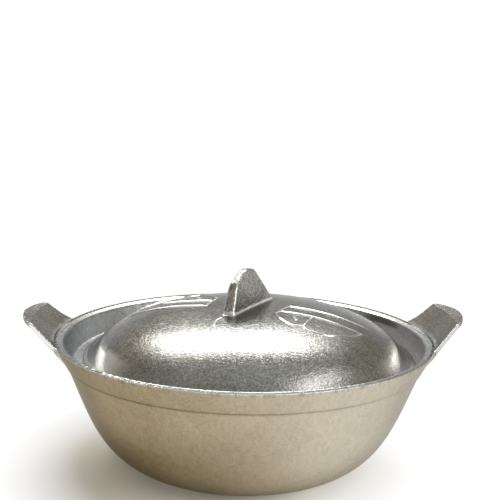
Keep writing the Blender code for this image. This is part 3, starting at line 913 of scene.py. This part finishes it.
def make_leaves():
    """The raised leaf on each side of the knob, and the short cast line at the knob's near end."""
    cos, sin = math.cos(LEFT_LEAF_TURN), math.sin(LEFT_LEAF_TURN)
    turned_left = np.array(((cos, sin), (-sin, cos)))
    right_seed, left_seed, near_seed = LEAF_SEEDS
    lines = []
    for number, (controls, height) in enumerate(zip(LEAF_LINES, LEAF_HEIGHTS)):
        path = smooth_path(controls, LEAF_STEPS)
        lines.append((path, height, right_seed + number))
        lines.append((path @ turned_left + LEFT_LEAF_SHIFT, height, left_seed + number))
    lines.append((smooth_path(NEAR_LINE, LEAF_STEPS), NEAR_LINE_HEIGHT, near_seed))
    points, faces = [], []
    for path, height, seed in lines:
        start = len(points)
        new_points, new_faces = ridge(path, height, seed)
        points.extend(new_points)
        faces.extend(tuple(start + corner for corner in face) for face in new_faces)
    made = mesh_object("lid_leaves", points, faces)
    made.data.transform(Matrix.Translation((LID_SHIFT * MM, 0, 0)))
    return made


def rounded_corner(before, corner, after, pull):
    """Points that take a corner of an outline in a smooth bend, starting a set length away from it."""
    corner = Vector(corner)
    start = corner + (Vector(before) - corner).normalized() * pull
    end = corner + (Vector(after) - corner).normalized() * pull
    pull_out = (start + 2 * corner) / 3
    pull_in = (end + 2 * corner) / 3
    return bezier(tuple(start), tuple(pull_out), tuple(pull_in), tuple(end), 8)


def fin_outline():
    """The knob's outline from its side, down to a little under the dome's surface."""
    start, end = (-KNOB_HALF_LENGTH, 0.0), (KNOB_HALF_LENGTH, 0.0)
    start_lean = (KNOB_CORNERS[0][0] - start[0]) / KNOB_CORNERS[0][1]
    end_lean = (end[0] - KNOB_CORNERS[-1][0]) / KNOB_CORNERS[-1][1]
    path = [start, *KNOB_CORNERS, end]
    outline = [(start[0] - start_lean * KNOB_BELOW, -KNOB_BELOW)]
    for before, corner, after in zip(path, path[1:], path[2:]):
        outline += rounded_corner(before, corner, after, KNOB_ROUND)
    return outline + [(end[0] + end_lean * KNOB_BELOW, -KNOB_BELOW)]


def fin_solid():
    """The fin with soft edges, thinner towards its top."""
    outline = fin_outline()
    draft = (1 - KNOB_TOP_THICKNESS / KNOB_BASE_THICKNESS) / KNOB_HEIGHT
    half = [KNOB_BASE_THICKNESS / 2 * (1 - draft * max(h, 0)) for _, h in outline]
    one_side = [(s, -t, h) for (s, h), t in zip(outline, half)]
    other_side = [(s, t, h) for (s, h), t in zip(outline, half)]
    made = solid_between("lid_fin", one_side, other_side)
    add_bevel(made, *KNOB_BEVEL)
    return evaluated(made)


def blend_foot(made):
    """Sets the fin on a flat foot and smooths the join into a fillet all round."""
    long = KNOB_HALF_LENGTH + KNOB_FOOT_SPREAD
    wide = KNOB_BASE_THICKNESS / 2 + KNOB_FOOT_SPREAD
    foot_outline = [(-long, -wide), (long, -wide), (long, wide), (-long, wide)]
    combine(made, prism("foot", foot_outline, -KNOB_FOOT_DEPTH, KNOB_FOOT_TOP), "UNION")
    add_remesh(made, KNOB_VOXEL)
    evaluated(made)
    group = made.vertex_groups.new(name="foot")
    for vertex in made.data.vertices:
        height = vertex.co.z / MM
        weight = 1 - min(max((height - KNOB_FOOT_BLEND) / KNOB_FOOT_BLEND, 0), 1)
        group.add([vertex.index], weight, "REPLACE")
    add_smoothing(made, KNOB_SMOOTHING)
    add_smoothing(made, KNOB_FOOT_SMOOTHING, "foot")
    return evaluated(made)


def make_knob():
    """The fin knob with soft edges and a fillet that runs into the dome all round its foot. Its edges
    are painted bright as wear and highlight, and the fillet gets a painted highlight.
    """
    made = blend_foot(fin_solid())
    shift = Matrix.Translation((KNOB_OFFSET[0] * MM, KNOB_OFFSET[1] * MM, 0))
    made.data.transform(shift @ Matrix.Rotation(KNOB_ANGLE, 4, "Z"))
    places, normals = vertex_arrays(made)
    places = places + normals * lumps(places, *KNOB_LUMPS)[:, None]
    # painted highlight along the fillet; edges painted bright as wear and highlight
    fillet_highlight_top = KNOB_FILLET_HIGHLIGHT + lumps(places, KNOB_FOOT_LUMPS)
    fillet = near(places[:, 2], fillet_highlight_top, KNOB_FILLET_HIGHLIGHT_WIDTH)
    places[:, 2] += dome_height(np.hypot(places[:, 0], places[:, 1]))
    places[:, 0] += LID_SHIFT
    set_places(made, places)
    worn = fade(bend(made, KNOB_EDGE_WEAR_SHEEN_ROUNDS), KNOB_EDGE_WEAR_SHEEN, KNOB_EDGE_WEAR_SHEEN)
    mark(made, "ground_and_highlight", np.maximum(worn, fillet))
    return made


class Nodes:
    """A short way to build a node tree."""

    def __init__(self, tree):
        self.tree = tree

    def add(self, kind, inputs=(), **settings):
        node = self.tree.nodes.new(kind)
        for key, value in settings.items():
            setattr(node, key, value)
        for key, value in dict(inputs).items():
            self.join(value, node.inputs[key])
        return node

    def join(self, value, socket):
        if isinstance(value, bpy.types.NodeSocket):
            self.tree.links.new(value, socket)
        else:
            socket.default_value = value

    def noise(self, place, scale, detail=3.0, roughness=0.5):
        inputs = {"Vector": place, "Scale": scale, "Detail": detail, "Roughness": roughness}
        return self.add("ShaderNodeTexNoise", inputs).outputs["Fac"]

    def spread(self, value, low, high, to_low=0.0, to_high=1.0):
        inputs = {0: value, 1: low, 2: high, 3: to_low, 4: to_high}
        return self.add("ShaderNodeMapRange", inputs).outputs[0]

    def math(self, operation, first, second=0.0):
        return self.add("ShaderNodeMath", {0: first, 1: second}, operation=operation).outputs[0]

    def total(self, *parts):
        """The sum of some values, each with its weight."""
        weighted = [self.math("MULTIPLY", value, weight) for value, weight in parts]
        summed = weighted[0]
        for part in weighted[1:]:
            summed = self.math("ADD", summed, part)
        return summed

    def blend(self, share, first, second):
        node = self.add("ShaderNodeMix", data_type="RGBA")
        self.join(share, node.inputs[0])
        self.join(first, node.inputs[6])
        self.join(second, node.inputs[7])
        return node.outputs[2]


def rgba(colour):
    """A colour with full opacity."""
    return (*colour, 1.0)


def painted_reflection_below(nodes, place, shade, colour, under):
    """Paints a reflection on what faces down: darker and warmer on the left, lighter on the right, and
    plainer at the back.
    """
    facing = nodes.add("ShaderNodeTexCoord").outputs["Normal"]
    upward = nodes.spread(nodes.add("ShaderNodeSeparateXYZ", {0: facing}).outputs["Z"], *PAINTED_REFLECTION_TILT)
    parts = nodes.add("ShaderNodeSeparateXYZ", {0: place}).outputs
    across = nodes.spread(parts["X"], *PAINTED_REFLECTION_ACROSS)
    behind = nodes.spread(parts["Y"], *PAINTED_REFLECTION_BACK)
    pairs = (*under, BACK_REFLECTION_COLOURS)
    left, right, back = (nodes.blend(shade, rgba(dark), rgba(light)) for light, dark in pairs)
    below = nodes.blend(behind, nodes.blend(across, left, right), back)
    return nodes.blend(upward, below, colour)


def cast_metal(name, light, dark, roughness, grain, dents, brush, tint, under=None, ground_and_highlight=None):
    """Bare cast aluminium: mottled colour, uneven polish, fine grain and faint brushing.

    With colours for what faces down, it paints a reflection there. With a colour for bright places, it
    reads the marks for grinding and painted highlights, and for chips and painted shade.
    """
    made = bpy.data.materials.new(name)
    made.use_nodes = True
    nodes = Nodes(made.node_tree)
    shader = made.node_tree.nodes["Principled BSDF"]
    place = nodes.add("ShaderNodeTexCoord").outputs["Object"]
    cloud = nodes.noise(place, *CLOUD)
    mottle = nodes.noise(place, *MOTTLE)
    speck = nodes.noise(place, *SPECK)
    stretched = nodes.add("ShaderNodeMapping", {"Vector": place, "Scale": (1.0, 1.0, brush)}).outputs[0]
    lines = nodes.noise(stretched, *BRUSHING)
    shade = nodes.spread(nodes.total(*zip((cloud, mottle, speck, lines), SHADE_SHARES)), *SHADE_RANGE)
    colour = nodes.blend(shade, rgba(dark), rgba(light))
    # paints a reflection on what faces down
    if under is not None:
        colour = painted_reflection_below(nodes, place, shade, colour, under)
    rough = nodes.spread(nodes.total(*zip((mottle, speck), ROUGH_SHARES)), *ROUGH_RANGE, *roughness)
    strength = 1.0
    if ground_and_highlight is not None:
        # bright for places of grinding and painted highlights, dark for chips, painted shade and
        # painted reflections
        worn = nodes.add("ShaderNodeAttribute", attribute_name="ground_and_highlight").outputs["Fac"]
        chips_and_shade = nodes.add("ShaderNodeAttribute", attribute_name="chips_and_shade").outputs["Fac"]
        colour = nodes.blend(nodes.math("MULTIPLY", worn, MARK_STRENGTH), colour, rgba(ground_and_highlight))
        colour = nodes.blend(nodes.math("MULTIPLY", chips_and_shade, MARK_STRENGTH), colour, rgba(CHIP_AND_SHADE_COLOUR))
        worn_rough = nodes.math("MULTIPLY", worn, rough)
        rough = nodes.total((rough, 1.0), (worn_rough, -GROUND_POLISH), (chips_and_shade, CHIP_AND_SHADE_ROUGHNESS))
        strength = nodes.spread(worn, 0.0, 1.0, 1.0, GROUND_GRAIN)
    height = nodes.total((speck, SPECK_HEIGHT), (lines, BRUSHING_HEIGHT), (mottle, dents))
    bump = nodes.add("ShaderNodeBump", {"Height": height, "Strength": strength, "Distance": grain * MM})
    nodes.join(colour, shader.inputs["Base Color"])
    nodes.join(rough, shader.inputs["Roughness"])
    nodes.join(bump.outputs[0], shader.inputs["Normal"])
    shader.inputs["Metallic"].default_value = 1.0
    shader.inputs["Specular Tint"].default_value = rgba(tint)
    made.diffuse_color = rgba(light)
    return made


def dress(made, material, body, slot, *nodes):
    """Gives a piece its material and its body, and hides the CAD nodes that it stands for. The slot is
    not used.
    """
    made.data.materials.clear()
    made.data.materials.append(material)
    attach(made, body)
    if nodes:
        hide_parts(*nodes)


def direction(azimuth, elevation):
    """A unit vector: azimuth 0 is towards the front, and positive to the right."""
    a, e = math.radians(azimuth), math.radians(elevation)
    return Vector((math.cos(e) * math.sin(a), -math.cos(e) * math.cos(a), math.sin(e)))


def softbox(name, azimuth, elevation, distance, width, height, radiance, colour, roll):
    """An oval soft light that faces the pot, rolled about its own axis and hidden from the camera."""
    lamp = bpy.data.lights.new(name, "AREA")
    lamp.shape = "ELLIPSE"
    lamp.size = width
    lamp.size_y = height
    lamp.energy = radiance * math.pi * width * height * math.pi / 4
    lamp.color = colour
    made = bpy.data.objects.new(name, lamp)
    bpy.context.scene.collection.objects.link(made)
    towards = direction(azimuth, elevation)
    made.location = Vector(LIT_POINT) + towards * distance
    made.rotation_euler = (towards.to_track_quat("Z", "Y") @ Quaternion((0, 0, 1), roll)).to_euler()
    made.visible_camera = False
    return made


def make_floor():
    """A plain white floor that takes the pot's shadow, with painted shade in a darker, warmer colour
    near the pot, and glows white farther away from the pot.
    """
    size = FLOOR_HALF_SIZE
    corners = [(-size, -size, 0), (size, -size, 0), (size, size, 0), (-size, size, 0)]
    made = mesh_object("floor", corners, [(0, 1, 2, 3)])
    material = bpy.data.materials.new("floor_white")
    material.use_nodes = True
    nodes = Nodes(material.node_tree)
    shader = material.node_tree.nodes["Principled BSDF"]
    shader.inputs["Roughness"].default_value = 1.0
    shader.inputs["Specular IOR Level"].default_value = 0.0
    place = nodes.add("ShaderNodeTexCoord").outputs["Object"]
    parts = nodes.add("ShaderNodeSeparateXYZ", {0: place}).outputs
    front = nodes.math("MULTIPLY", parts["Y"], -1.0)
    turn = nodes.spread(nodes.math("ARCTAN2", parts["X"], front), -math.pi, math.pi)
    ramp = nodes.add("ShaderNodeValToRGB", {0: turn})
    stops = ramp.color_ramp.elements
    for stop, position in zip(stops, (0.0, 1.0)):
        stop.position = position
        stop.color = rgba((FLOOR_BACK_SHARE,) * 3)
    for degrees, share in FLOOR_SHARES:
        stop = stops.new((degrees + 180) / 360)
        stop.color = rgba((share,) * 3)
    flat = nodes.add("ShaderNodeVectorMath", {0: place, 1: (1.0, 1.0, 0.0)}, operation="MULTIPLY")
    away = nodes.add("ShaderNodeVectorMath", {0: flat.outputs[0]}, operation="LENGTH").outputs["Value"]
    far = nodes.spread(away, *FLOOR_FAR)
    # painted shade near the pot
    colour = nodes.blend(far, rgba(FLOOR_SHADE_COLOUR), rgba(FLOOR_COLOUR))
    nodes.join(colour, shader.inputs["Base Color"])
    around = nodes.math("MULTIPLY", ramp.outputs[0], nodes.spread(away, *FLOOR_NEAR))
    lit = nodes.math("MAXIMUM", around, far)
    white = nodes.add("ShaderNodeEmission", {"Color": (1.0, 1.0, 1.0, 1.0), "Strength": FLOOR_GLOW})
    mix = nodes.add("ShaderNodeMixShader", {0: lit, 1: shader.outputs[0], 2: white.outputs[0]})
    nodes.join(mix.outputs[0], material.node_tree.nodes["Material Output"].inputs["Surface"])
    made.data.materials.append(material)
    return made


def make_world():
    """Plain studio surroundings: white along the horizon and behind the pot, darker elsewhere."""
    world = bpy.data.worlds.new("studio")
    bpy.context.scene.world = world
    world.use_nodes = True
    nodes = Nodes(world.node_tree)
    background = world.node_tree.nodes["Background"]
    towards = nodes.add("ShaderNodeTexCoord").outputs["Generated"]
    parts = nodes.add("ShaderNodeSeparateXYZ", {0: towards}).outputs
    ramp = nodes.add("ShaderNodeValToRGB", {0: parts["Z"]})
    stops = ramp.color_ramp.elements
    for stop, (position, colour) in zip(stops, (WORLD_FOOT, WORLD_HEAD)):
        stop.position = position
        stop.color = rgba(colour)
    for position, colour in WORLD_STOPS:
        stop = stops.new(position)
        stop.color = rgba(colour)
    low = nodes.spread(parts["Z"], *BACKDROP_TOP)
    back = nodes.spread(parts["Y"], *BACKDROP_SIDES)
    white = nodes.math("MAXIMUM", nodes.math("MULTIPLY", low, back), nodes.spread(parts["Z"], *HORIZON))
    nodes.join(nodes.blend(white, ramp.outputs[0], (1.0, 1.0, 1.0, 1.0)), background.inputs["Color"])
    background.inputs["Strength"].default_value = 1.0


def make_camera():
    """The photograph's view."""
    data = bpy.data.cameras.new("view")
    data.sensor_width = SENSOR_WIDTH
    data.lens = CAMERA_LENS
    made = bpy.data.objects.new("view", data)
    bpy.context.scene.collection.objects.link(made)
    turn = Matrix.Rotation(CAMERA_TURN, 4, "Z")
    tilt = Matrix.Rotation(CAMERA_TILT, 4, "X")
    roll = Matrix.Rotation(CAMERA_ROLL, 4, "Z")
    made.matrix_world = Matrix.Translation(CAMERA_PLACE) @ turn @ tilt @ roll
    bpy.context.scene.camera = made


def main():
    """Builds the pieces on their bodies, then the floor, surroundings, lights and camera."""
    metals = {name: cast_metal(name, **look) for name, look in METALS.items()}
    dress(make_pot_body(), metals["pot_metal"], "pot", POT_SLOT, "pot_bowl")
    for name, turn, lift, polish, node in TABS:
        dress(make_tab(name, turn, lift, polish), metals["tab_metal"], "pot", POT_SLOT, node)
    dress(make_lid_shell(), metals["lid_metal"], "lid", LID_SLOT, "lid_dome")
    dress(make_leaves(), metals["leaf_metal"], "lid", LID_SLOT)
    dress(make_knob(), metals["knob_metal"], "lid", LID_SLOT, "lid_knob")
    make_floor()
    make_world()
    for lamp in LAMPS:
        softbox(*lamp)
    make_camera()
    bpy.context.scene.view_settings.view_transform = "Standard"


main()
